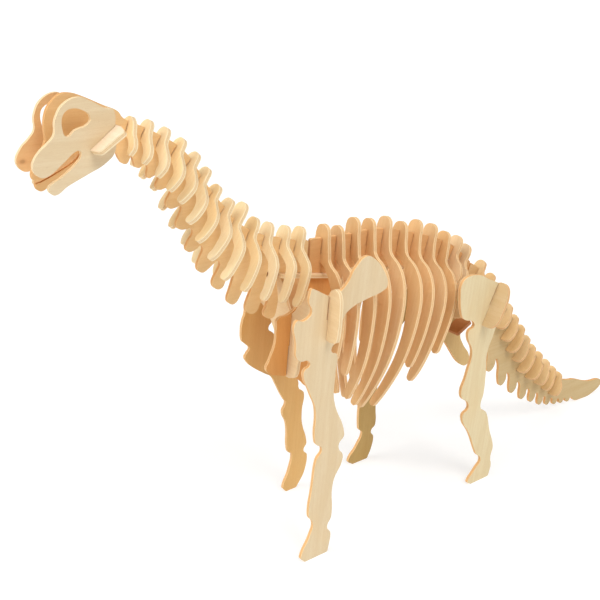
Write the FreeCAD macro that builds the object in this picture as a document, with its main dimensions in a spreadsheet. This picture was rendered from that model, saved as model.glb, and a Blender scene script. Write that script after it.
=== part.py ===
import FreeCAD, Part
import math
import os

# Plywood dinosaur skeleton made of flat plates that cross-lap into each other.
# Frame: snout towards -X, tail towards +X, left side -Y, floor at Z = 0, millimetres.

os.makedirs("parts", exist_ok=True)
doc = FreeCAD.newDocument("DinosaurJigsaw")
V = FreeCAD.Vector

# ---------------------------------------------------------------- sizes
SIZES = [
    ("ply", 2.0),            # plate thickness
    ("fit_gap", 0.12),       # gap on each side of a plate standing in a slot
    ("leg_offset", 28.0),    # middle of a leg plate from the middle of the model
    ("skull_offset", 10.5),  # middle of a skull side from the middle of the model
    ("bar_width", 7.0),      # width of the two joining bars
    ("middle_shift", 0.51),  # brings the middle of the length over the origin
    ("floor_lift", 1.5),     # height of the outline tables' zero over the floor
]
sheet = doc.addObject("Spreadsheet::Sheet", "Sizes")
S = {}
for row, (alias, value) in enumerate(SIZES, start=1):
    sheet.set("A%d" % row, alias)
    sheet.set("B%d" % row, str(value))
    sheet.setAlias("B%d" % row, alias)
    S[alias] = value
doc.recompute()

PLY = S["ply"]
GAP = S["fit_gap"]
SLOT = PLY + 2 * GAP         # width of every slot
SHARP = 0.0                  # corner left square


# ---------------------------------------------------------------- outline helpers
def corner(prev, here, nxt, radius):
    """Start, middle and end of the arc that rounds one corner, or the bare corner."""
    ax, ay = prev[0] - here[0], prev[1] - here[1]
    bx, by = nxt[0] - here[0], nxt[1] - here[1]
    la, lb = math.hypot(ax, ay), math.hypot(bx, by)
    ax, ay, bx, by = ax / la, ay / la, bx / lb, by / lb
    half = 0.5 * math.acos(max(-1.0, min(1.0, ax * bx + ay * by)))
    if radius == SHARP or half > 1.56:
        return [(here[0], here[1])]
    reach = min(0.49 * min(la, lb), radius / math.tan(half))
    rad = reach * math.tan(half)
    mx, my = ax + bx, ay + by
    lm = math.hypot(mx, my)
    centre = rad / math.sin(half)
    inner = centre - rad
    return [
        (here[0] + ax * reach, here[1] + ay * reach),
        (here[0] + mx / lm * inner, here[1] + my / lm * inner),
        (here[0] + bx * reach, here[1] + by * reach),
    ]


def unit(start, end):
    """Direction from one point to another."""
    dx, dy = end[0] - start[0], end[1] - start[1]
    length = math.hypot(dx, dy)
    return (dx / length, dy / length)


def arc_to(start, heading, end):
    """Arc that leaves start along a heading and reaches end, or a line when it is flat."""
    cx, cy = end[0] - start[0], end[1] - start[1]
    length = math.hypot(cx, cy)
    bend = math.atan2(heading[0] * cy - heading[1] * cx, heading[0] * cx + heading[1] * cy)
    rise = 0.5 * length * math.tan(bend / 2)
    a, b = V(start[0], start[1], 0), V(end[0], end[1], 0)
    if abs(rise) < 0.004:
        return Part.LineSegment(a, b)
    middle = V(start[0] + cx / 2 + cy / length * rise, start[1] + cy / 2 - cx / length * rise, 0)
    return Part.Arc(a, middle, b)


def blend(start, leaving, end, arriving):
    """A line, or two arcs that share a heading where they meet, between two headings."""
    vx, vy = end[0] - start[0], end[1] - start[1]
    square = vx * vx + vy * vy
    if square < 0.005 ** 2:
        return []
    chord = unit(start, end)
    off = abs(chord[0] * leaving[1] - chord[1] * leaving[0])
    off += abs(chord[0] * arriving[1] - chord[1] * arriving[0])
    if off < 0.002:
        return [Part.LineSegment(V(start[0], start[1], 0), V(end[0], end[1], 0))]
    a = 2 * (1 - leaving[0] * arriving[0] - leaving[1] * arriving[1])
    b = 2 * (vx * (leaving[0] + arriving[0]) + vy * (leaving[1] + arriving[1]))
    reach = square / b if a < 1e-6 else (math.sqrt(b * b + 4 * a * square) - b) / (2 * a)
    first = (start[0] + leaving[0] * reach, start[1] + leaving[1] * reach)
    second = (end[0] - arriving[0] * reach, end[1] - arriving[1] * reach)
    joint = ((first[0] + second[0]) / 2, (first[1] + second[1]) / 2)
    return [arc_to(start, leaving, joint), arc_to(joint, unit(first, second), end)]


def closed_outline(points):
    """Closed outline through its points; a third value makes a point a corner of that radius."""
    count = len(points)
    stops = []
    for i, here in enumerate(points):
        before, after = points[i - 1], points[(i + 1) % count]
        if len(here) > 2:
            path = corner(before, here, after, here[2])
            stops.append((path, unit(before, here), unit(here, after)))
        else:
            way = unit(before, after)
            stops.append(([here], way, way))
    edges = []
    for i, (path, _, leaving) in enumerate(stops):
        target, arriving, _ = stops[(i + 1) % count]
        if len(path) == 3:
            edges.append(Part.Arc(*[V(p[0], p[1], 0) for p in path]))
        edges += blend(path[-1], leaving, target[0], arriving)
    return edges


def add_sketch(body, name, plane, outlines):
    sketch = body.newObject("Sketcher::SketchObject", name)
    origin_plane = [f for f in body.Origin.OriginFeatures if f.Role == plane][0]
    sketch.AttachmentSupport = (origin_plane, [""])
    sketch.MapMode = "FlatFace"
    for outline in outlines:
        for edge in closed_outline(outline):
            sketch.addGeometry(edge, False)
    return sketch


NODES = []


def plate(label, plane, outline, cuts=(), placement=None):
    """One flat plate: outline padded to the ply thickness, then its slots cut through."""
    body = doc.addObject("PartDesign::Body", label)
    body.Label = label
    sketch = add_sketch(body, label + "_outline", plane, [outline])
    pad = body.newObject("PartDesign::Pad", label + "_pad")
    pad.Profile = sketch
    pad.Length = PLY
    pad.setExpression("Length", "Sizes.ply")
    pad.SideType = "Symmetric"
    sketch.Visibility = False
    if cuts:
        slots = add_sketch(body, label + "_slots", plane, cuts)
        pocket = body.newObject("PartDesign::Pocket", label + "_cut")
        pocket.Profile = slots
        pocket.Type = "ThroughAll"
        pocket.SideType = "Symmetric"
        slots.Visibility = False
    move = FreeCAD.Placement(V(S["middle_shift"], 0, S["floor_lift"]), FreeCAD.Rotation())
    body.Placement = move * (placement or FreeCAD.Placement())
    body.setExpression(".Placement.Base.x", "Sizes.middle_shift * 1 mm + %.4f mm" % (
        body.Placement.Base.x - S["middle_shift"]))
    body.setExpression(".Placement.Base.z", "Sizes.floor_lift * 1 mm + %.4f mm" % (
        body.Placement.Base.z - S["floor_lift"]))
    NODES.append(body)
    return body


def mirrored(half):
    """Full outline from the points of one half, listed from top middle to bottom middle."""
    other = [(-p[0],) + tuple(p[1:]) for p in reversed(half) if abs(p[0]) > 1e-6]
    return list(half) + other


def strip(base, lean, low, high, ahead=0.0):
    """Four corners of a slot along a leaning line; ahead widens it on the snout side."""
    up = (math.sin(math.radians(lean)), math.cos(math.radians(lean)))
    side = (up[1], -up[0])
    out = []
    front, back = -SLOT / 2 - ahead, SLOT / 2
    for along, across in ((low, front), (low, back), (high, back), (high, front)):
        x = base[0] + up[0] * along + side[0] * across
        z = base[1] + up[1] * along + side[1] * across
        out.append((x, z, SHARP))
    return out


def box(x0, x1, y0, y1):
    return [(x0, y0, SHARP), (x1, y0, SHARP), (x1, y1, SHARP), (x0, y1, SHARP)]


def square_ends(line, first, last):
    """The points of an edge, its ends made small corners where asked."""
    out = [(p[0], p[1]) for p in line]
    if first:
        out[0] += (0.8,)
    if last:
        out[-1] += (0.8,)
    return out


def height_on(line, x):
    """Height of a top edge, given as points from snout to tail, at one X."""
    for (x0, z0), (x1, z1) in zip(line, line[1:]):
        if x0 <= x <= x1:
            return z0 + (z1 - z0) * (x - x0) / (x1 - x0)
    raise ValueError("outside the edge")


def tilt(lean):
    return FreeCAD.Rotation(V(0, 1, 0), lean)


def across(base, lean):
    """Placement of a cross plate whose front face stands on the point base."""
    up = math.radians(lean)
    shift = PLY / 2
    x = base[0] + shift * math.cos(up)
    z = base[1] - shift * math.sin(up)
    return FreeCAD.Placement(V(x, 0, z), tilt(lean)), (x, z)


def teeth(tips, valleys, half_width, lean):
    """Lower edge of a spine plate: rounded teeth between given valleys."""
    path = []
    for i, tip in enumerate(tips):
        wide = half_width(i)
        up = math.radians(lean(i))
        sx, sz = math.cos(up) * wide, -math.sin(up) * wide
        path.append((tip[0] - sx, tip[1] - sz))
        path.append((tip[0] + sx, tip[1] + sz))
        if i < len(valleys):
            path.append(valleys[i])
    return path


# ---------------------------------------------------------------- spine edges
NECK_TOP = [
    (-160.0, 231.2), (-154.5, 228.5), (-152.0, 225.3), (-149.0, 223.6), (-142.9, 220.6),
    (-136.0, 216.6), (-129.0, 211.8), (-123.0, 205.2), (-118.7, 197.5), (-113.8, 189.8),
    (-107.9, 182.3), (-102.6, 175.5), (-95.2, 169.3), (-87.2, 165.3), (-77.8, 162.2),
    (-69.4, 159.4), (-62.8, 158.4),
]
BODY_TOP = [
    (-61.4, 158.6), (-51.6, 157.8), (-44.3, 157.3), (-35.2, 156.8), (-24.8, 156.8),
    (-14.1, 155.4), (-3.1, 152.4), (6.7, 149.2), (16.8, 145.6), (27.5, 141.0),
    (36.0, 136.0), (43.5, 130.0), (49.3, 124.6),
]
TAIL_TOP = [
    (50.0, 123.8), (57.0, 118.8), (66.0, 109.5), (75.0, 98.8), (84.8, 87.2), (91.4, 78.6),
    (98.0, 69.8), (104.2, 61.0), (110.6, 53.2), (118.2, 45.6), (126.4, 37.8), (134.0, 30.8),
    (141.2, 24.6), (147.0, 21.0), (153.9, 18.6), (159.7, 17.4), (174.9, 11.2), (190.4, 8.0),
]

# ---------------------------------------------------------------- cross pieces on the spine
# Each row: X on the spine edge, lean towards the tail, knob height, half width, depth.
NECK_ROWS = [
    (-149.6, 24, 2.0, 11.0, 12.5), (-142.9, 31, 3.6, 12.8, 13.6), (-136.0, 34, 4.0, 14.6, 16.0),
    (-129.0, 40, 3.8, 16.2, 18.6), (-123.0, 45, 4.0, 15.8, 18.8), (-118.7, 44, 4.8, 16.0, 20.6),
    (-113.6, 44, 4.4, 15.6, 22.0), (-107.7, 42, 4.8, 15.4, 23.4), (-102.8, 35, 8.6, 16.6, 26.0),
    (-95.2, 28, 6.4, 15.6, 26.0), (-87.2, 21, 6.4, 15.6, 27.6), (-77.8, 20, 6.2, 15.8, 27.6),
    (-69.5, 20, 7.0, 15.8, 29.0),
]
RIB_ROWS = [
    (-54.3, 7, 6.6, 22.5, 56.0), (-45.6, 7, 5.0, 23.0, 67.0), (-36.0, 7, 8.0, 23.6, 85.0),
    (-25.8, 8, 5.8, 23.6, 93.0), (-15.4, 11, 6.4, 24.6, 96.0), (-4.4, 13, 4.6, 26.0, 95.0),
    (5.6, 15, 7.0, 25.2, 68.0), (16.4, 18, 6.8, 24.8, 76.5), (26.8, 21, 5.2, 23.2, 58.0),
    (35.8, 26, 6.4, 12.4, 22.0), (43.0, 31, 6.0, 11.0, 20.0),
]
# Tail rows end with the lobe length below the spine edge.
TAIL_ROWS = [
    (57.0, 37, 5.4, 8.4, 13.6), (66.0, 42, 5.0, 8.2, 13.6), (84.8, 47, 3.6, 7.0, 13.0),
    (91.4, 48, 3.4, 7.7, 14.4), (98.0, 49, 3.8, 7.6, 15.2), (104.2, 49, 3.8, 7.4, 14.4),
    (110.6, 48, 3.8, 7.9, 16.2), (118.2, 46, 4.0, 8.8, 15.0), (126.4, 45, 4.0, 7.9, 13.4),
    (134.0, 43, 3.8, 6.6, 12.8), (141.2, 40, 3.6, 7.8, 12.4),
]
RIB_SLOT = 8.0       # depth of a rib slot in the spine plate
TAIL_SLOT = 4.6
SIGHT = 0.35         # extra width of the slots on the snout side, seen as a dark line


def prong_scale(deep):
    """Shallow neck pieces have shorter shoulders and a shallower crotch."""
    return min(1.0, 0.35 + 0.65 * deep / 18.0)


def knob_top(knob, wide):
    """Half of the round knob over the spine edge, from its top to its side."""
    top = [(0.0, knob), (0.71 * wide, knob - 0.29 * wide)]
    if knob - wide > 0.8:
        top.append((wide, knob - wide))
    return top


def neck_outline(knob, wide, deep):
    """Half outline of a neck piece: knob, waist, two short prongs with round ends."""
    k = prong_scale(deep)
    half = knob_top(knob, 4.5) + [
        (4.7, -0.6), (5.6, -2.6 * k), (0.62 * wide, -5.2 * k), (0.88 * wide, -8.2 * k),
        (wide, -11.8 * k),
    ]
    if deep > 20.0:
        half.append((wide, -0.80 * deep))
    half += [(0.92 * wide, -deep + 1.4), (0.80 * wide, -deep), (0.66 * wide, -deep + 1.2)]
    if deep > 20.0:
        half.append((0.70 * wide, -0.78 * deep))
    return half + [(0.62 * wide, -11.8 * k), (0.40 * wide, -8.8 * k), (SLOT / 2, -6.6 * k, SHARP)]


RIB_OUTER = [
    (16.4, -15.4), (21.8, -21.5), (24.8, -30.0), (25.5, -40.0), (24.6, -53.0),
    (21.6, -67.0), (16.2, -81.0), (9.4, -95.0),
]
RIB_INNER = [
    (6.0, -14.6), (11.4, -20.4), (15.2, -28.4), (17.2, -38.0), (18.0, -50.0),
    (16.2, -64.0), (11.2, -80.0), (5.4, -97.0),
]


def cut_curve(curve, deep):
    """Points of a prong edge above a depth, and the point reached at that depth."""
    kept = [p for p in curve if p[1] > -deep + 4.0]
    for (y0, w0), (y1, w1) in zip(curve, curve[1:]):
        if w1 <= -deep <= w0 or (w1 == curve[-1][1] and -deep < w1):
            return kept, (y0 + (y1 - y0) * (w0 + deep) / (w0 - w1), -deep)
    raise ValueError("depth outside the prong")


def rib_outline(knob, wide, deep):
    """Half outline of a rib: knob, waist, long curved prong with a round end at its depth."""
    scale = wide / 25.5
    outer, outer_end = cut_curve(RIB_OUTER, deep)
    inner = [p for p in RIB_INNER if p[1] > -deep + 5.0]
    half = knob_top(knob, 4.8)
    half += [(4.9, 0.0), (6.3, -6.2), (8.6 * scale, -10.8)]
    half += [(y * scale, w) for y, w in outer]
    side = outer_end[0] * scale
    half += [(side + 0.4, -deep + 1.6), (side - 1.6, -deep), (side - 3.6, -deep + 1.8)]
    half += [(y * scale, w) for y, w in reversed(inner)]
    half.append((SLOT / 2, -12.0, SHARP))
    return half


def short_rib_outline(knob, wide, deep):
    """Half outline of the two short ribs in front of the hip."""
    return knob_top(knob, 4.6) + [
        (4.7, 0.0), (4.9, -4.6), (0.84 * wide, -9.2), (wide, -14.0), (0.92 * wide, -deep + 1.2),
        (0.76 * wide, -deep), (0.60 * wide, -deep + 1.2), (0.58 * wide, -14.0),
        (SLOT / 2, -11.0, SHARP),
    ]


def tail_outline(knob, wide, deep):
    """Half outline of a tail piece: small knob over a rounded paddle."""
    return knob_top(knob, 3.7) + [
        (4.3, -0.6), (0.84 * wide, -3.6), (0.98 * wide, -0.50 * deep), (wide, -0.76 * deep),
        (0.86 * wide, -0.93 * deep), (0.50 * wide, -deep), (SLOT / 2, -deep, SHARP),
    ]


def spine_pieces(prefix, rows, line, shape, slot_depth, notch_end):
    """Make the cross pieces of one stretch of spine; return the slots they need."""
    slots = []
    for i, (x, lean, knob, wide, deep) in enumerate(rows, start=1):
        place, centre = across((x, height_on(line, x)), lean)
        outline = shape(i, knob, wide, deep)
        low = slot_depth(deep)
        notch = box(-SLOT / 2, SLOT / 2, notch_end(deep), -low + GAP)
        plate("%s_%02d" % (prefix, i), "YZ_Plane", outline, [notch], place)
        slots.append(strip(centre, lean, -low - GAP, 9.0, SIGHT))
    return slots


neck_slots = spine_pieces(
    "neck_vertebra", NECK_ROWS, NECK_TOP,
    lambda i, knob, wide, deep: mirrored(neck_outline(knob, wide, deep)),
    lambda deep: 4.8 * prong_scale(deep), lambda deep: -6.6 * prong_scale(deep) - 0.02)
rib_slots = spine_pieces(
    "rib", RIB_ROWS, BODY_TOP,
    lambda i, knob, wide, deep: mirrored(
        rib_outline(knob, wide, deep) if i < 10 else short_rib_outline(knob, wide, deep)),
    lambda deep: RIB_SLOT, lambda deep: -12.02 if deep > 30 else -11.02)
tail_slots = spine_pieces(
    "tail_vertebra", TAIL_ROWS, TAIL_TOP,
    lambda i, knob, wide, deep: mirrored(tail_outline(knob, wide, deep)),
    lambda deep: TAIL_SLOT, lambda deep: -deep - 1.0)


# ---------------------------------------------------------------- joining bars
class Bar:
    """Flat bar under the spine, sloping down towards the tail."""

    def __init__(self, centre, slope, length):
        self.centre = centre
        self.slope = slope
        self.length = length

    def at(self, along, above):
        """World X, Z of a point along the bar and above its middle plane."""
        c, s = math.cos(math.radians(self.slope)), math.sin(math.radians(self.slope))
        return (self.centre[0] + along * c + above * s, self.centre[1] - along * s + above * c)

    def tab(self, along, wide, side):
        """Three-sided tab of a plate through the bar; side +1 is from above."""
        near, far = side * (PLY / 2 + 0.1), -side * PLY / 2
        path = []
        for a, h in ((-wide, near), (-wide, far), (wide, far), (wide, near)):
            path.append(self.at(along + a, h) + (SHARP,))
        return path


SHOULDER_BAR = Bar((-63.3, 141.0), 12.0, 34.0)
HIP_BAR = Bar((43.2, 107.6), 42.0, 21.0)
TAB = 2.2            # half length of a tab along its bar


def make_bar(label, bar, tabs):
    half, wide = bar.length / 2, S["bar_width"] / 2
    outline = [(-half, -wide, 1.5), (half, -wide, 1.5), (half, wide, 1.5), (-half, wide, 1.5)]
    holes = []
    for along in tabs:
        holes.append(box(along - TAB - GAP, along + TAB + GAP, -SLOT / 2, SLOT / 2))
    place = FreeCAD.Placement(V(bar.centre[0], 0, bar.centre[1]), tilt(bar.slope))
    plate(label, "XY_Plane", outline, holes, place)


make_bar("shoulder_bar", SHOULDER_BAR, (-10.0, 0.0, 10.0))
make_bar("hip_bar", HIP_BAR, (-6.6, 0.0, 6.6))
TOUCH = PLY / 2 + 0.1

# ---------------------------------------------------------------- shoulder and hip cross plates
SHOULDER_BASE, SHOULDER_LEAN = (-73.0, 119.0), 5.5
HIP_BASE, HIP_LEAN = (38.0, 113.0), 27.0
shoulder_place, shoulder_mid = across(SHOULDER_BASE, SHOULDER_LEAN)
hip_place, hip_mid = across(HIP_BASE, HIP_LEAN)
LEG = S["leg_offset"]
SOLE = S["floor_lift"]
shoulder_half = [
    (0.0, 3.0, SHARP), (4.0, 7.0), (8.5, 16.5), (15.0, 20.2), (24.0, 20.6), (27.4, 21.8),
    (29.6, 24.6), (32.4, 26.0), (35.4, 24.2), (36.8, 19.0), (37.0, 5.0), (35.2, 1.0),
    (24.0, 0.0), (14.0, -8.0), (9.6, -17.0), (7.4, -27.0), (3.0, -29.6, 1.5),
]
LEG_LAP = 10.6       # where leg slot and shoulder notch meet
CHEST_LAP = -13.0
plate("shoulder_cross_plate", "YZ_Plane", mirrored(shoulder_half), [
    box(LEG - SLOT / 2, LEG + SLOT / 2, -6.0, LEG_LAP),
    box(-LEG - SLOT / 2, -LEG + SLOT / 2, -6.0, LEG_LAP),
    box(-SLOT / 2, SLOT / 2, CHEST_LAP, 12.0),
], shoulder_place)
hip_half = [
    (3.0, -7.4, 1.0), (9.0, -7.4), (17.0, -1.0), (23.0, 5.0), (30.0, 10.6), (34.8, 9.8),
    (37.6, 4.6), (38.3, -3.0), (37.8, -10.0), (34.6, -13.8), (27.0, -14.0), (18.0, -13.6),
    (10.0, -16.6), (3.0, -18.4, 1.5),
]
HIP_LAP = -2.4
PELVIS_LAP = -12.6
plate("hip_cross_plate", "YZ_Plane", mirrored(hip_half), [
    box(LEG - SLOT / 2, LEG + SLOT / 2, -20.0, HIP_LAP),
    box(-LEG - SLOT / 2, -LEG + SLOT / 2, -20.0, HIP_LAP),
    box(-SLOT / 2, SLOT / 2, -30.0, PELVIS_LAP),
], hip_place)

# ---------------------------------------------------------------- pelvis shelf
SHELF_CENTRE, SHELF_RISE = (39.4, 89.4), 27.0
shelf_outline = [(-5.8, -10.0, 1.0), (5.8, -10.0, 1.0), (5.8, 10.0, 1.0), (-5.8, 10.0, 1.0)]
shelf_place = FreeCAD.Placement(V(SHELF_CENTRE[0], 0, SHELF_CENTRE[1]), tilt(-SHELF_RISE))
plate("pelvis_shelf", "XY_Plane", shelf_outline, [box(-9.0, 0.0, -SLOT / 2, SLOT / 2)], shelf_place)

# ---------------------------------------------------------------- middle plates
SKULL = [
    (-173.6, 236.6), (-179.4, 234.4), (-182.8, 229.4), (-183.8, 224.0), (-186.2, 221.4),
    (-190.0, 218.4), (-192.8, 214.4), (-192.4, 211.0), (-189.8, 209.0), (-186.4, 209.9),
    (-181.5, 213.4), (-176.0, 217.2), (-174.2, 216.0), (-176.4, 212.6), (-182.5, 208.2),
    (-187.4, 205.6), (-187.9, 203.4), (-185.5, 201.9), (-180.6, 204.6), (-172.9, 207.8),
    (-165.6, 210.9), (-161.0, 215.1), (-160.3, 223.0), (-160.2, 230.6), (-164.0, 231.9),
    (-168.4, 234.6),
]
HEAD_MIDDLE = [
    (-169.0, 235.7), (-172.1, 236.7), (-175.1, 236.9), (-177.9, 235.8), (-180.0, 234.0),
    (-181.8, 231.9), (-183.0, 229.1), (-183.6, 226.3), (-183.7, 223.3), (-183.8, 220.2),
    (-185.9, 216.1), (-188.6, 212.3), (-190.1, 209.5), (-190.5, 207.6), (-190.0, 206.1),
    (-188.7, 205.6), (-185.5, 206.4), (-182.2, 207.9), (-178.9, 210.0), (-174.6, 212.6),
    (-172.0, 214.0), (-171.1, 213.1), (-173.2, 211.0), (-180.0, 207.6), (-187.1, 204.8),
    (-189.2, 204.2), (-189.2, 202.6), (-187.8, 201.5), (-186.0, 201.8), (-183.5, 203.5),
    (-179.3, 206.0), (-172.9, 208.0), (-165.6, 211.0),
]
CHEEK_CENTRE, CHEEK_RISE, CHEEK_LONG = (-164.6, 220.2), 36.0, 14.0

# Lower edge of the neck, from the jaw to the shoulder bar: round fingers between narrow gaps.
NECK_BELLY = [
    (-159.0, 214.0), (-156.4, 212.4), (-155.2, 209.6), (-153.8, 207.6), (-151.9, 207.4),
    (-150.6, 209.2), (-149.9, 210.0), (-149.2, 208.2), (-148.5, 205.6), (-147.0, 204.9),
    (-145.3, 205.6), (-143.9, 206.0), (-143.2, 204.4), (-143.7, 201.6), (-143.1, 200.1),
    (-140.8, 200.7), (-138.8, 201.2), (-138.8, 199.2), (-140.0, 196.6), (-139.6, 195.0),
    (-138.1, 194.5), (-136.4, 194.8), (-134.0, 194.9), (-133.4, 193.2), (-135.7, 189.3),
    (-135.8, 187.2), (-134.2, 185.8), (-131.4, 185.9), (-129.3, 186.2), (-129.2, 184.2),
    (-131.7, 179.2), (-131.5, 177.0), (-129.6, 175.8), (-127.2, 175.6), (-125.0, 175.6),
    (-124.1, 173.4), (-126.6, 169.8), (-127.9, 167.2), (-127.2, 165.5), (-125.5, 165.0),
    (-122.8, 165.9), (-120.5, 166.9), (-119.6, 165.0), (-121.3, 161.5), (-122.9, 157.9),
    (-122.4, 155.6), (-120.2, 154.3), (-117.6, 155.3), (-114.6, 157.3), (-112.4, 158.2),
    (-111.3, 156.4), (-112.9, 153.3), (-114.8, 150.6), (-115.6, 148.3), (-114.9, 146.0),
    (-112.6, 144.6), (-110.4, 145.2), (-108.8, 147.8), (-107.2, 150.4), (-105.5, 151.2),
    (-104.6, 149.6), (-105.4, 146.6), (-107.0, 142.6), (-108.2, 139.4), (-107.9, 137.2),
    (-105.7, 135.6), (-103.5, 136.2), (-101.6, 138.6), (-99.4, 142.2), (-97.8, 144.4),
    (-95.9, 144.8), (-94.8, 143.0), (-95.4, 140.2), (-97.2, 136.6), (-98.7, 132.6),
    (-98.0, 129.9), (-95.4, 128.4), (-92.9, 128.9), (-91.0, 131.8), (-89.2, 135.4),
    (-88.2, 138.2), (-86.7, 139.2), (-85.5, 137.4), (-85.8, 133.6), (-87.6, 129.4),
    (-88.5, 126.6), (-87.3, 124.4), (-84.6, 123.3), (-82.6, 124.4), (-81.4, 127.8),
    (-80.6, 132.0), (-80.8, 137.0), (-81.2, 141.5),
]
neck_outline_points = list(HEAD_MIDDLE)
neck_outline_points += NECK_BELLY
neck_outline_points += [SHOULDER_BAR.at(-18.4, 0.4) + (0.6,)]
neck_outline_points += [SHOULDER_BAR.at(-17.0, TOUCH) + (SHARP,)]
neck_outline_points += SHOULDER_BAR.tab(-10.0, TAB, 1)
neck_outline_points += [SHOULDER_BAR.at(-0.9, TOUCH) + (SHARP,)]
neck_outline_points += list(reversed(square_ends(NECK_TOP, False, True)))
cheek_slot = strip(CHEEK_CENTRE, 90 - CHEEK_RISE, -CHEEK_LONG / 2 - GAP, CHEEK_LONG / 2 + GAP)
plate("neck_plate", "XZ_Plane", neck_outline_points, neck_slots + [cheek_slot])

body_outline_points = square_ends(BODY_TOP, True, True)
body_outline_points += [HIP_BAR.at(-0.4, TOUCH) + (SHARP,)]
body_outline_points += list(reversed(HIP_BAR.tab(-6.6, TAB, 1)))
body_outline_points += [
    HIP_BAR.at(-10.5, TOUCH) + (1.0,), (30.0, 120.0), (17.0, 127.0), (-3.0, 133.6),
    (-25.0, 138.0), (-40.0, 139.4), SHOULDER_BAR.at(17.0, TOUCH) + (1.0,),
]
body_outline_points += list(reversed(SHOULDER_BAR.tab(10.0, TAB, 1)))
body_outline_points += [SHOULDER_BAR.at(0.4, TOUCH) + (SHARP,)]
plate("body_plate", "XZ_Plane", body_outline_points, rib_slots)

TAIL_TIPS = [
    (74.0, 49.2), (86.0, 36.0), (96.8, 27.2), (107.2, 19.4), (117.0, 14.2), (126.0, 9.2),
    (134.0, 6.4), (141.8, 4.2), (148.6, 2.8), (155.6, 1.6),
]
TAIL_VALLEYS = [
    (80.0, 55.0), (91.6, 42.2), (102.8, 32.6), (113.2, 24.4), (122.4, 18.6), (130.6, 13.4),
    (138.2, 9.8), (145.4, 7.0), (152.2, 5.0), (159.4, 3.6),
]
tail_outline_points = square_ends(TAIL_TOP, True, False)
tail_outline_points += [(191.2, 3.6), (180.6, -0.9), (170.0, -1.0), (163.4, 0.0)]
tail_outline_points += list(reversed(teeth(
    TAIL_TIPS, TAIL_VALLEYS, lambda i: max(1.0, 2.0 - 0.1 * i), lambda i: 8)))
tail_outline_points += [(70.8, 62.0), (66.0, 76.0), (60.0, 88.0), (54.0, 97.0)]
tail_outline_points += [HIP_BAR.at(10.5, TOUCH) + (1.0,)]
tail_outline_points += list(reversed(HIP_BAR.tab(6.6, TAB, 1)))
tail_outline_points += [HIP_BAR.at(0.4, TOUCH) + (SHARP,)]
plate("tail_plate", "XZ_Plane", tail_outline_points, tail_slots)

chest_outline = [SHOULDER_BAR.at(-5.0, -TOUCH) + (1.0,)]
chest_outline += SHOULDER_BAR.tab(0.0, TAB, -1)
chest_outline += [
    SHOULDER_BAR.at(16.6, -TOUCH) + (1.0,), (-46.6, 130.0), (-50.6, 116.0), (-54.6, 100.0),
    (-59.0, 86.0), (-62.4, 80.4), (-67.6, 84.6), (-73.0, 89.0), (-80.0, 91.4), (-85.6, 93.8),
    (-87.8, 97.2), (-86.0, 101.0), (-82.4, 109.0), (-81.4, 118.0), (-80.8, 121.6),
    (-74.4, 122.8), (-69.4, 126.0), (-67.4, 132.0),
]
plate("chest_plate", "XZ_Plane", chest_outline, [
    strip(shoulder_mid, SHOULDER_LEAN, -36.0, CHEST_LAP + GAP, 0.4),
])
pelvis_outline = [HIP_BAR.at(-9.8, -TOUCH) + (1.0,)]
pelvis_outline += HIP_BAR.tab(0.0, TAB, -1)
pelvis_outline += [
    HIP_BAR.at(9.6, -TOUCH) + (1.0,), (51.6, 92.6), (48.6, 85.6), (46.0, 80.2), (49.0, 73.3),
    (53.8, 66.7), (55.1, 62.4), (53.8, 59.5), (50.5, 59.2), (45.1, 63.3), (39.6, 70.7),
    (35.9, 76.2), (33.6, 78.9), (28.6, 78.2), (23.3, 76.5), (15.8, 74.2), (9.9, 72.1),
    (6.1, 72.6), (3.7, 75.8), (6.4, 79.9), (15.0, 84.9), (22.6, 88.8), (26.2, 97.0),
    (31.0, 106.0),
]
plate("pelvis_plate", "XZ_Plane", pelvis_outline, [
    strip(hip_mid, HIP_LEAN, PELVIS_LAP - GAP, 6.0, 0.4),
    strip(SHELF_CENTRE, 90 - SHELF_RISE, -GAP, 18.0),
])


# ---------------------------------------------------------------- skull sides and cheek bar
SKULL_Y = S["skull_offset"]
EYE = [
    (-180.4, 224.4), (-180.0, 230.4), (-176.4, 232.8), (-170.8, 231.0), (-169.4, 228.4),
    (-171.2, 226.2), (-175.5, 224.9), (-178.8, 222.8),
]
skull_slot = strip(CHEEK_CENTRE, 90 - CHEEK_RISE, -GAP, CHEEK_LONG)


def turned(points, centre, degrees):
    """The same points swung about a centre; positive lowers the snout."""
    c, s = math.cos(math.radians(degrees)), math.sin(math.radians(degrees))
    out = []
    for x, z in points:
        x, z = x - centre[0], z - centre[1]
        out.append((centre[0] + x * c - z * s, centre[1] + x * s + z * c))
    return out


for label, side, nod in (("skull_left", -1, 0.0), ("skull_right", 1, 4.5)):
    place = FreeCAD.Placement(V(0, side * SKULL_Y, 0), FreeCAD.Rotation())
    side_outline = turned(SKULL, CHEEK_CENTRE, nod)
    plate(label, "XZ_Plane", side_outline, [turned(EYE, CHEEK_CENTRE, nod), skull_slot], place)
cheek_half = CHEEK_LONG / 2
cheek_side = [
    (cheek_half, 0.0, SHARP), (cheek_half, 15.5, 1.5), (cheek_half - 1.2, 20.6, 1.5),
    (1.0 - cheek_half, 18.6, 1.8), (-cheek_half, 12.0, 2.0), (-cheek_half, 0.0, SHARP),
]
cheek_outline = cheek_side + [(x, -y, r) for x, y, r in reversed(cheek_side[1:-1])]
cheek_place = FreeCAD.Placement(V(CHEEK_CENTRE[0], 0, CHEEK_CENTRE[1]), tilt(-CHEEK_RISE))
plate("cheek_bar", "XY_Plane", cheek_outline, [
    box(-cheek_half - 1.0, 0.0, SKULL_Y - SLOT / 2, SKULL_Y + SLOT / 2),
    box(-cheek_half - 1.0, 0.0, -SKULL_Y - SLOT / 2, -SKULL_Y + SLOT / 2),
], cheek_place)

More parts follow.
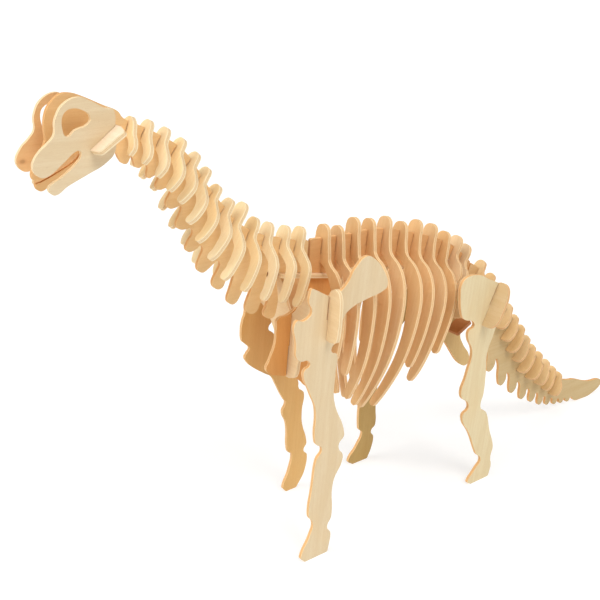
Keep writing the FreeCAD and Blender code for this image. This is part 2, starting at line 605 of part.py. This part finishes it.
# ---------------------------------------------------------------- legs
FRONT_BLADE = [
    (-68.4, 141.2), (-65.4, 141.2), (-60.6, 144.6), (-56.2, 151.0), (-49.8, 155.6),
    (-43.6, 152.4), (-38.6, 145.6), (-36.4, 140.4), (-37.6, 136.8), (-49.6, 134.2),
    (-55.4, 133.0), (-61.0, 130.2), (-64.2, 125.4),
]
FRONT_LEFT = [(-81.0, 147.0, 1.0), (-71.6, 141.0, 1.0)] + FRONT_BLADE + [
    (-66.0, 118.0), (-69.6, 113.4), (-66.0, 109.6), (-67.0, 100.0), (-67.4, 86.0),
    (-60.8, 65.6), (-64.2, 59.6), (-61.4, 52.0), (-67.4, 39.0), (-68.0, 20.0),
    (-70.6, 14.2), (-68.4, 9.0), (-70.2, -SOLE, 1.2), (-84.8, -SOLE, 1.6), (-87.0, 2.0),
    (-81.4, 13.0), (-79.4, 19.2), (-82.2, 26.0), (-80.0, 42.0), (-77.8, 55.6), (-74.4, 61.2),
    (-78.4, 66.6), (-78.4, 84.8), (-82.0, 95.0), (-85.4, 105.4), (-81.8, 110.2),
    (-88.8, 113.8), (-89.6, 122.0), (-90.0, 132.0), (-84.2, 132.2), (-80.8, 135.2),
    (-82.4, 141.0),
]
FAR_BLADE = [(x, min(z, 141.0 + 0.55 * (z - 141.0))) for x, z in FRONT_BLADE]
FRONT_RIGHT = [(-81.0, 147.0, 1.0), (-71.6, 141.0, 1.0)] + FAR_BLADE + [
    (-66.0, 116.0), (-65.6, 108.0), (-68.0, 103.4), (-64.8, 99.8), (-60.4, 89.0),
    (-54.4, 78.0), (-49.2, 67.4), (-48.6, 62.4), (-45.2, 58.4), (-46.6, 48.0), (-46.6, 40.4),
    (-43.4, 26.4), (-45.4, 21.6), (-43.0, 17.4), (-45.2, 6.8), (-50.6, -SOLE, 1.4),
    (-58.0, -SOLE, 1.4), (-59.8, 1.8), (-55.6, 11.6), (-53.4, 21.6), (-56.4, 25.0),
    (-57.0, 42.0), (-59.6, 50.8), (-57.4, 56.0), (-58.8, 58.8), (-61.2, 63.6), (-63.7, 69.3),
    (-66.4, 74.7), (-71.9, 78.9), (-78.0, 83.7), (-81.0, 86.9), (-82.8, 90.6), (-81.5, 92.8),
    (-79.8, 95.2), (-81.9, 98.1), (-84.2, 100.8), (-84.3, 107.7), (-83.3, 111.9),
    (-82.1, 114.9), (-81.3, 119.2), (-79.0, 126.1), (-80.4, 134.0), (-82.4, 141.0),
]
HIND_BLADE = [
    (17.6, 107.4), (15.4, 112.0), (14.2, 120.0), (14.4, 127.0), (18.4, 130.4),
    (27.0, 129.8), (35.0, 125.8), (43.4, 121.6, 1.0), (47.6, 119.6), (45.4, 112.0),
    (41.4, 104.0),
]
HIND_LEFT = HIND_BLADE + [
    (43.6, 98.0), (42.0, 92.4), (38.2, 82.0), (38.6, 70.0), (38.4, 58.0), (36.8, 48.6),
    (42.2, 43.0), (46.0, 31.0), (50.4, 18.4), (49.2, 11.4), (50.2, 5.0), (48.6, -SOLE, 1.4),
    (34.0, -SOLE, 1.4), (31.6, 0.8), (37.0, 7.4), (41.0, 12.4), (36.6, 18.4), (30.0, 33.0),
    (22.8, 46.4), (27.2, 52.4), (20.4, 61.4), (23.6, 73.0), (26.4, 85.0), (22.0, 97.4),
    (26.2, 102.4),
]
HIND_RIGHT = HIND_BLADE + [
    (42.4, 98.0), (38.0, 91.0), (26.6, 82.4), (17.0, 70.0), (11.4, 56.0), (8.2, 44.0),
    (7.8, 33.0), (8.0, 20.8), (4.8, 16.8), (6.8, 12.0), (5.4, 5.0), (2.4, -SOLE, 1.4),
    (-9.2, -SOLE, 1.4), (-12.2, 1.8), (-6.0, 10.0), (-2.0, 17.4), (-4.8, 22.0), (-4.4, 42.0),
    (-2.2, 56.0), (1.6, 68.0), (8.6, 79.0), (15.0, 88.0), (21.4, 97.4), (25.2, 102.0),
]
shoulder_slot = strip(shoulder_mid, SHOULDER_LEAN, LEG_LAP - GAP, 34.0, 0.5)
hip_slot = strip(hip_mid, HIP_LEAN, HIP_LAP - GAP, 20.0, 0.4)
LEGS = [
    ("front_leg_left", -1, FRONT_LEFT, shoulder_slot),
    ("front_leg_right", 1, FRONT_RIGHT, shoulder_slot),
    ("hind_leg_left", -1, HIND_LEFT, hip_slot),
    ("hind_leg_right", 1, HIND_RIGHT, hip_slot),
]
for label, side, outline, slot in LEGS:
    place = FreeCAD.Placement(V(0, side * LEG, 0), FreeCAD.Rotation())
    body = plate(label, "XZ_Plane", outline, [slot], place)
    body.setExpression(".Placement.Base.y", "%d * Sizes.leg_offset * 1 mm" % side)

# ---------------------------------------------------------------- checks and export
doc.recompute()
bad = [obj.Label for obj in doc.Objects if "Invalid" in obj.State or "Error" in obj.State]
if bad:
    raise RuntimeError("not built: " + ", ".join(bad))
total = 0.0
for node in NODES:
    shape = node.Shape
    if shape.isNull() or not shape.isValid() or len(shape.Solids) != 1:
        raise RuntimeError("%s is not one valid solid (%d)" % (node.Label, len(shape.Solids)))
    total += shape.Volume
    shape.exportStep("parts/%s.step" % node.Label)
whole = Part.makeCompound([node.Shape for node in NODES]).BoundBox
print("%d plates, %.1f cm3 of wood" % (len(NODES), total / 1000.0))
print("X %.3f to %.3f, Y %.3f to %.3f, Z %.3f to %.3f" % (
    whole.XMin, whole.XMax, whole.YMin, whole.YMax, whole.ZMin, whole.ZMax))
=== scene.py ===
import math

import bpy
from mathutils import Matrix, Vector

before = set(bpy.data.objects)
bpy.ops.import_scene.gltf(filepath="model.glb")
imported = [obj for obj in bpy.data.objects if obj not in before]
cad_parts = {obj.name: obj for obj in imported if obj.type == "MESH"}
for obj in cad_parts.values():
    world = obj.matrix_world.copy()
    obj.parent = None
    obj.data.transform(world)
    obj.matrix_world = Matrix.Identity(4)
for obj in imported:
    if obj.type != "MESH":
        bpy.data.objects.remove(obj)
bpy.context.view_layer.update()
scene = bpy.context.scene
scene.view_settings.view_transform = "Standard"

MM = 1000                         # millimetres in a metre
CORE_HALF = 0.38                  # half of the middle ply, mm
FACE_FROM, FACE_TO = 0.88, 0.97   # depth at which cut edge gives way to face veneer, mm
BRIGHTEST = 0.97                  # no channel of a face goes above this
KNOT_BROWN, GLUE_BROWN = (0.20, 0.09, 0.03), (0.52, 0.26, 0.10)
SEED_STEP = (17.3, 9.1)           # how far each piece moves on in the veneer, mm
RELIEF_STRENGTH, RELIEF_DEPTH = 0.35, 0.00012      # depth in metres
WELD_DISTANCE, EASED_EDGE = 0.000004, 0.00014      # metres
SHARP_ANGLE = math.radians(40)    # edges sharper than this are eased
FLOOR_GREY, FLOOR_GLOW = 0.40, 0.66
LEG_GRAIN_LEAN = 0.1              # radians
UP = Vector((0, 0, 1))


# ---------------------------------------------------------------- where each plate lies
def plate_axes(obj):
    """Unit normal of a plate and the middle of its thickness, from its two largest faces."""
    areas = {}
    for poly in obj.data.polygons:
        n = poly.normal
        key = max((n, -n), key=lambda v: (round(v.z, 3), round(v.x, 3), round(v.y, 3)))
        name = tuple(round(c, 2) for c in key)
        total, direction = areas.get(name, (0.0, key.copy()))
        areas[name] = (total + poly.area, direction)
    normal = max(areas.values(), key=lambda item: item[0])[1].normalized()
    depths = [v.co.dot(normal) for v in obj.data.vertices]
    return normal, (min(depths) + max(depths)) / 2


# ---------------------------------------------------------------- node helper
class Nodes:
    """Short way to add and join shader nodes."""

    def __init__(self, owner):
        """Owner is a material or a world; it starts without any nodes."""
        owner.use_nodes = True
        self.tree = owner.node_tree
        self.tree.nodes.clear()

    def put(self, socket, value):
        """Join another node's output to a socket, or set the socket's own value."""
        if isinstance(value, bpy.types.NodeSocket):
            self.tree.links.new(value, socket)
        else:
            socket.default_value = value

    def add(self, kind, inputs=None, **settings):
        node = self.tree.nodes.new(kind)
        for name, value in settings.items():
            setattr(node, name, value)
        for key, value in (inputs or {}).items():
            self.put(node.inputs[key], value)
        return node

    def math(self, operation, a, b=0.0, c=0.0):
        return self.add("ShaderNodeMath", {0: a, 1: b, 2: c}, operation=operation).outputs[0]

    def step(self, value, low, high, to_low=0.0, to_high=1.0):
        """Smooth change of a value from one level to another."""
        node = self.add("ShaderNodeMapRange", {
            "Value": value, "From Min": low, "From Max": high,
            "To Min": to_low, "To Max": to_high}, interpolation_type="SMOOTHSTEP")
        return node.outputs["Result"]

    def stretch(self, vector, scale):
        node = self.add("ShaderNodeVectorMath", {0: vector, 1: scale}, operation="MULTIPLY")
        return node.outputs[0]

    def noise(self, vector, scale, detail=3.0, rough=0.55, distortion=0.0):
        """Noise drawn out by its own scale in each direction of the vector."""
        node = self.add("ShaderNodeTexNoise", {
            "Vector": self.stretch(vector, scale), "Scale": 1.0, "Detail": detail,
            "Roughness": rough, "Distortion": distortion})
        return node.outputs["Fac"]

    def mix(self, factor, a, b, blend="MIX"):
        node = self.add("ShaderNodeMix", data_type="RGBA", blend_type=blend)
        for index, value in ((0, factor), (6, a), (7, b)):
            self.put(node.inputs[index], value)
        return node.outputs[2]


def rgba(r, g, b):
    return (r, g, b, 1.0)


# ---------------------------------------------------------------- plywood
def plywood(name, normal, middle, grain, seed, tone, rim, knot, fade):
    """Three-ply wood: face veneer with grain and pores, and stacked plies on the cut edges."""
    material = bpy.data.materials.new("plywood_" + name)
    n = Nodes(material)
    across = normal.cross(grain).normalized()
    turn = Matrix((grain, across, normal))
    place = n.add("ShaderNodeTexCoord").outputs["Object"]
    shift = Vector((SEED_STEP[0] * seed, SEED_STEP[1] * seed, -middle * MM))
    local = n.add("ShaderNodeMapping", {
        "Vector": place, "Scale": (MM, MM, MM), "Rotation": turn.to_euler(),
        "Location": shift}).outputs[0]
    split = n.add("ShaderNodeSeparateXYZ", {0: local})
    depth = split.outputs["Z"]

    def shade(red, green, blue):
        """The piece's own tone made darker or lighter in each channel."""
        return rgba(*(min(c * f, BRIGHTEST) for c, f in zip(tone, (red, green, blue))))

    def rim_shade(red, green, blue):
        """The same for the colour of the cut edges."""
        return rgba(*(c * f for c, f in zip(rim, (red, green, blue))))

    # face veneer: broad streaks, growth bands, fine fibres, specks, soft blotches, short pores
    broad = n.noise(local, (0.020, 0.22, 0.3), 3.0, 0.55, 0.6)
    fibre = n.noise(local, (0.30, 4.2, 4.2), 4.0, 0.65)
    speck = n.noise(local, (2.6, 3.4, 3.0), 3.0, 0.75)
    pores = n.step(n.noise(local, (0.75, 5.5, 1.0), 2.0, 0.5), 0.66, 0.75)
    blotch = n.noise(local, (0.045, 0.08, 0.05), 2.0, 0.5)
    rings = n.add("ShaderNodeTexWave", {
        "Vector": n.stretch(local, (0.010, 0.12, 0.1)), "Scale": 1.1, "Distortion": 5.5,
        "Detail": 2.0, "Detail Scale": 0.9}, bands_direction="Y", wave_profile="SAW").outputs["Fac"]
    veneer = n.mix(n.step(broad, 0.34, 0.68), shade(1.02, 1.025, 1.04), shade(0.97, 0.94, 0.90))
    for amount, strength, darker in (
            (n.step(rings, 0.5, 1.0), 0.22, (0.92, 0.84, 0.75)),
            (n.step(fibre, 0.42, 0.72), 0.30, (0.86, 0.76, 0.66)),
            (n.step(speck, 0.42, 0.72), 0.34, (0.84, 0.74, 0.62)),
            (n.step(blotch, 0.50, 0.74), 0.45, (0.98, 0.90, 0.80)),
            (pores, 0.30, (0.55, 0.38, 0.26))):
        veneer = n.mix(n.math("MULTIPLY", amount, strength), veneer, shade(*darker))
    # tint along the grain; on the tail plate it is painted light at the hip end
    if fade:
        whole, gone, tint = fade
        along = n.step(split.outputs["X"], shift.x + whole, shift.x + gone, 1.0, 0.0)
        veneer = n.mix(along, veneer, rgba(*tint), "MULTIPLY")
    if knot:
        x, y, radius, darkness = knot
        spot = n.add("ShaderNodeVectorMath", {
            0: local, 1: (shift.x + x, shift.y + y, 0.0)}, operation="SUBTRACT")
        spread = n.add("ShaderNodeVectorMath", {
            0: n.stretch(spot.outputs[0], (0.7, 1.0, 0.0))}, operation="LENGTH").outputs["Value"]
        ring = n.step(spread, radius * 1.8, radius * 0.8, 0.0, 0.35)
        veneer = n.mix(ring, veneer, shade(0.7, 0.5, 0.4))
        dark = n.step(spread, radius, radius * 0.5, 0.0, darkness)
        veneer = n.mix(dark, veneer, rgba(*KNOT_BROWN))

    # cut edge: pale outer plies, darker core, thin glue lines
    edge_noise = n.noise(local, (1.6, 1.6, 9.0), 4.0, 0.7)
    wander = n.math("MULTIPLY_ADD", n.noise(local, (0.12, 0.12, 0.4)), 0.20, -0.10)
    layer = n.math("ABSOLUTE", n.math("ADD", depth, wander))
    core = n.step(layer, CORE_HALF + 0.04, CORE_HALF - 0.04)
    glue = n.math(
        "MULTIPLY", n.step(layer, CORE_HALF - 0.08, CORE_HALF - 0.01),
        n.step(layer, CORE_HALF + 0.07, CORE_HALF))
    coarse = n.step(edge_noise, 0.35, 0.7)
    outer = n.mix(coarse, rgba(*rim), rim_shade(0.95, 0.89, 0.80))
    inner = n.mix(coarse, rim_shade(0.93, 0.84, 0.74), rim_shade(0.84, 0.69, 0.54))
    edge = n.mix(core, outer, inner)
    edge = n.mix(n.math("MULTIPLY", glue, 0.75), edge, rgba(*GLUE_BROWN))
    on_face = n.step(n.math("ABSOLUTE", depth), FACE_FROM, FACE_TO)
    colour = n.mix(on_face, edge, veneer)

    # relief: fibres and pores on the faces, rough saw-like grain on the edges
    face_relief = n.math("SUBTRACT", n.math("MULTIPLY", fibre, 0.5), n.math("MULTIPLY", pores, 0.6))
    edge_relief = n.math("SUBTRACT", edge_noise, n.math("MULTIPLY", glue, 0.5))
    height = n.add("ShaderNodeMix", {0: on_face, 2: edge_relief, 3: face_relief}).outputs[0]
    bump = n.add("ShaderNodeBump", {
        "Height": height, "Strength": RELIEF_STRENGTH, "Distance": RELIEF_DEPTH})
    rough = n.add("ShaderNodeMapRange", {
        "Value": fibre, "From Min": 0.3, "From Max": 0.7, "To Min": 0.55, "To Max": 0.75})
    shader = n.add("ShaderNodeBsdfPrincipled", {
        "Base Color": colour, "Roughness": rough.outputs["Result"],
        "Normal": bump.outputs["Normal"], "Specular IOR Level": 0.25})
    n.add("ShaderNodeOutputMaterial", {"Surface": shader.outputs[0]})
    return material


# Every piece gets its own tone; the first entry that starts a name is used.
# The darker, more orange tones of the far-side pieces (skull_right, the right legs) and of the
# inner ones (chest, body, pelvis and tail plates, hip cross, pelvis shelf) are painted shade for
# the shade they sit in; the ribs' orange is partly wood colour and partly painted shade, and the
# neck vertebrae's pale tone is partly painted light.
TONES = (
    ("skull_left", (0.80, 0.65, 0.43)), ("skull_right", (0.86, 0.56, 0.28)),
    ("cheek_bar", (0.92, 0.76, 0.58)), ("neck_plate", (0.87, 0.595, 0.30)),
    ("neck_vertebra", (0.95, 0.77, 0.48)), ("rib_10", (0.86, 0.65, 0.40)),
    ("rib_11", (0.86, 0.65, 0.40)), ("rib", (0.84, 0.56, 0.285)),
    ("body_plate", (0.78, 0.45, 0.20)), ("tail_vertebra", (0.80, 0.58, 0.31)),
    ("tail_plate", (0.62, 0.47, 0.25)), ("chest_plate", (0.80, 0.41, 0.14)),
    ("pelvis_plate", (0.70, 0.50, 0.23)), ("pelvis_shelf", (0.58, 0.27, 0.12)),
    ("shoulder_cross", (0.88, 0.68, 0.42)), ("hip_cross", (0.69, 0.52, 0.30)),
    ("shoulder_bar", (0.90, 0.68, 0.45)), ("hip_bar", (0.86, 0.62, 0.36)),
    ("front_leg_left", (0.80, 0.655, 0.435)), ("hind_leg_left", (0.80, 0.68, 0.435)),
    ("front_leg_right", (0.79, 0.50, 0.20)), ("hind_leg_right", (0.53, 0.355, 0.13)),
)
# Knots: millimetres along the grain and across it from the frame's origin, radius, darkness.
KNOTS = {"neck_vertebra_11": (108.9, -10.7, 1.0, 1.0), "skull_right": (-189.4, -212.7, 0.9, 0.3)}
# Tints towards the snout end: millimetres along the grain where the tint is still whole and
# where it is gone, and what it multiplies the colour by.
# The tail plate's tint makes its hip end lighter and warmer: painted light on a part that sits in
# shade.
FADES = {
    "tail_plate": (42.0, 84.0, (1.25, 1.05, 0.95)),
    "neck_plate": (-186.0, -150.0, (1.0, 0.93, 0.86)),
}
# Rim colours: the orange second and third of this line are painted shade, and the dark second of
# the next line is painted shadow.
PALE_RIM, SHADED_WARM_RIM, SHADED_PLATE_RIM = (0.97, 0.82, 0.56), (0.90, 0.60, 0.31), (0.84, 0.50, 0.22)
RIB_RIM, PAINTED_SHADOW_RIM, TAIL_RIM = (0.93, 0.69, 0.41), (0.50, 0.22, 0.09), (0.82, 0.55, 0.30)
# Colour of the cut edges, found like the tones; the empty start at the end fits every name.
# The orange rims of the legs and of the body, chest, neck, tail and pelvis plates are painted
# shade on edges that sit in shade, and the pelvis shelf's dark rim is painted shadow.
RIMS = (
    ("rib", RIB_RIM), ("tail_vertebra", TAIL_RIM), ("hip_cross", TAIL_RIM),
    ("neck_plate", SHADED_PLATE_RIM), ("tail_plate", SHADED_PLATE_RIM), ("pelvis_plate", SHADED_PLATE_RIM),
    ("pelvis_shelf", PAINTED_SHADOW_RIM), ("body_plate", SHADED_WARM_RIM), ("chest_plate", SHADED_WARM_RIM),
    ("front_leg", SHADED_WARM_RIM), ("hind_leg", SHADED_WARM_RIM), ("", PALE_RIM),
)
GRAIN_LEVEL = ("neck_plate", "body_plate", "tail_plate", "shoulder_bar", "hip_bar", "skull")


def first_match(table, name):
    """Value of the first entry whose text starts the name."""
    return next(value for start, value in table if name.startswith(start))


def tone_of(name, seed):
    """Its tone from the table, painted shade and painted light included; pieces of a numbered row
    are a little lighter, darker or warmer.
    """
    base = first_match(TONES, name)
    if not name[-1].isdigit():
        return base
    light = 1.0 + 0.035 * math.sin(seed * 2.4)
    warm = 0.03 * math.sin(seed * 4.1 + 1.0)
    return (base[0] * light, base[1] * light * (1 - warm), base[2] * light * (1 - 3 * warm))


def grain_of(name, normal):
    """Direction of the face grain, lying in the plate."""
    if abs(normal.y) > 0.9:
        grain = Vector((1, 0, 0)) if name.startswith(GRAIN_LEVEL) else UP
        if name.startswith(("front_leg", "hind_leg")):
            grain = Vector((math.sin(LEG_GRAIN_LEAN), 0, math.cos(LEG_GRAIN_LEAN)))
    elif name.startswith(("shoulder_cross", "hip_cross", "cheek", "pelvis_shelf")):
        grain = Vector((0, 1, 0))
    else:
        grain = UP - normal * normal.z
    return (grain - normal * grain.dot(normal)).normalized()


def ease_edges(obj):
    """Weld the faces of a plate together and take the sharpness off its edges."""
    weld = obj.modifiers.new("weld", "WELD")
    weld.merge_threshold = WELD_DISTANCE
    bevel = obj.modifiers.new("eased_edges", "BEVEL")
    bevel.width = EASED_EDGE
    bevel.segments = 2
    bevel.limit_method = "ANGLE"
    bevel.angle_limit = SHARP_ANGLE
    bevel.use_clamp_overlap = True


for seed, (name, obj) in enumerate(sorted(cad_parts.items()), start=1):
    normal, middle = plate_axes(obj)
    material = plywood(
        name, normal, middle, grain_of(name, normal), seed, tone_of(name, seed),
        first_match(RIMS, name), KNOTS.get(name), FADES.get(name))
    obj.data.materials.clear()
    obj.data.materials.append(material)
    ease_edges(obj)

# ---------------------------------------------------------------- floor
# It glows a little, so that it stays near white and takes only a faint shadow.
bpy.ops.mesh.primitive_plane_add(size=40, location=(0, 0, 0))
floor = bpy.context.object
floor.name = "floor"
white = bpy.data.materials.new("floor_white")
white.use_nodes = True
base = white.node_tree.nodes["Principled BSDF"]
base.inputs["Base Color"].default_value = rgba(FLOOR_GREY, FLOOR_GREY, FLOOR_GREY)
base.inputs["Roughness"].default_value = 0.9
base.inputs["Specular IOR Level"].default_value = 0.1
base.inputs["Emission Color"].default_value = rgba(1, 1, 1)
base.inputs["Emission Strength"].default_value = FLOOR_GLOW
floor.data.materials.append(white)

# ---------------------------------------------------------------- light
# The camera sees white behind the object; everything else gets only a weak warm fill.
world = bpy.data.worlds.new("studio")
scene.world = world
w = Nodes(world)
seen = w.add("ShaderNodeBackground", {"Color": rgba(1, 1, 1), "Strength": 1.0})
fill = w.add("ShaderNodeBackground", {"Color": rgba(1.0, 0.95, 0.88), "Strength": 0.16})
ray = w.add("ShaderNodeLightPath").outputs["Is Camera Ray"]
pick = w.add("ShaderNodeMixShader", {0: ray, 1: fill.outputs[0], 2: seen.outputs[0]})
w.add("ShaderNodeOutputWorld", {"Surface": pick.outputs[0]})


def soft_sun(name, source, strength, spread, colour=(1, 1, 1)):
    """Even light over the whole scene, coming from the direction of a point."""
    data = bpy.data.lights.new(name, "SUN")
    data.angle = math.radians(spread)
    data.energy = strength
    data.color = colour
    lamp = bpy.data.objects.new(name, data)
    scene.collection.objects.link(lamp)
    lamp.rotation_euler = Vector(source).to_track_quat("Z", "Y").to_euler()


soft_sun("key", (0.05, -0.75, 1.0), 1.36, 30, (1, 0.985, 0.95))
soft_sun("top", (-0.45, 0.0, 1.0), 1.8, 50, (1, 0.985, 0.96))
soft_sun("right_fill", (0.5, -1.0, 0.4), 0.27, 60)
soft_sun("left_fill", (-1.0, 0.45, 0.5), 0.90, 40, (1, 0.98, 0.92))

# ---------------------------------------------------------------- camera
AZIMUTH, ELEVATION, DISTANCE = math.radians(-35.3), math.radians(22.2), 0.414   # distance in metres
AIM = Vector((-0.06649, 0, 0.1299))
LENS, SENSOR_WIDTH = 51.0, 36.0   # mm
back = Vector((
    math.sin(AZIMUTH) * math.cos(ELEVATION), -math.cos(AZIMUTH) * math.cos(ELEVATION),
    math.sin(ELEVATION)))
camera_data = bpy.data.cameras.new("camera")
camera_data.lens = LENS
camera_data.sensor_width = SENSOR_WIDTH
camera_data.clip_start = 0.01
camera = bpy.data.objects.new("camera", camera_data)
scene.collection.objects.link(camera)
camera.location = AIM + back * DISTANCE
camera.rotation_euler = (-back).to_track_quat("-Z", "Y").to_euler()
scene.camera = camera
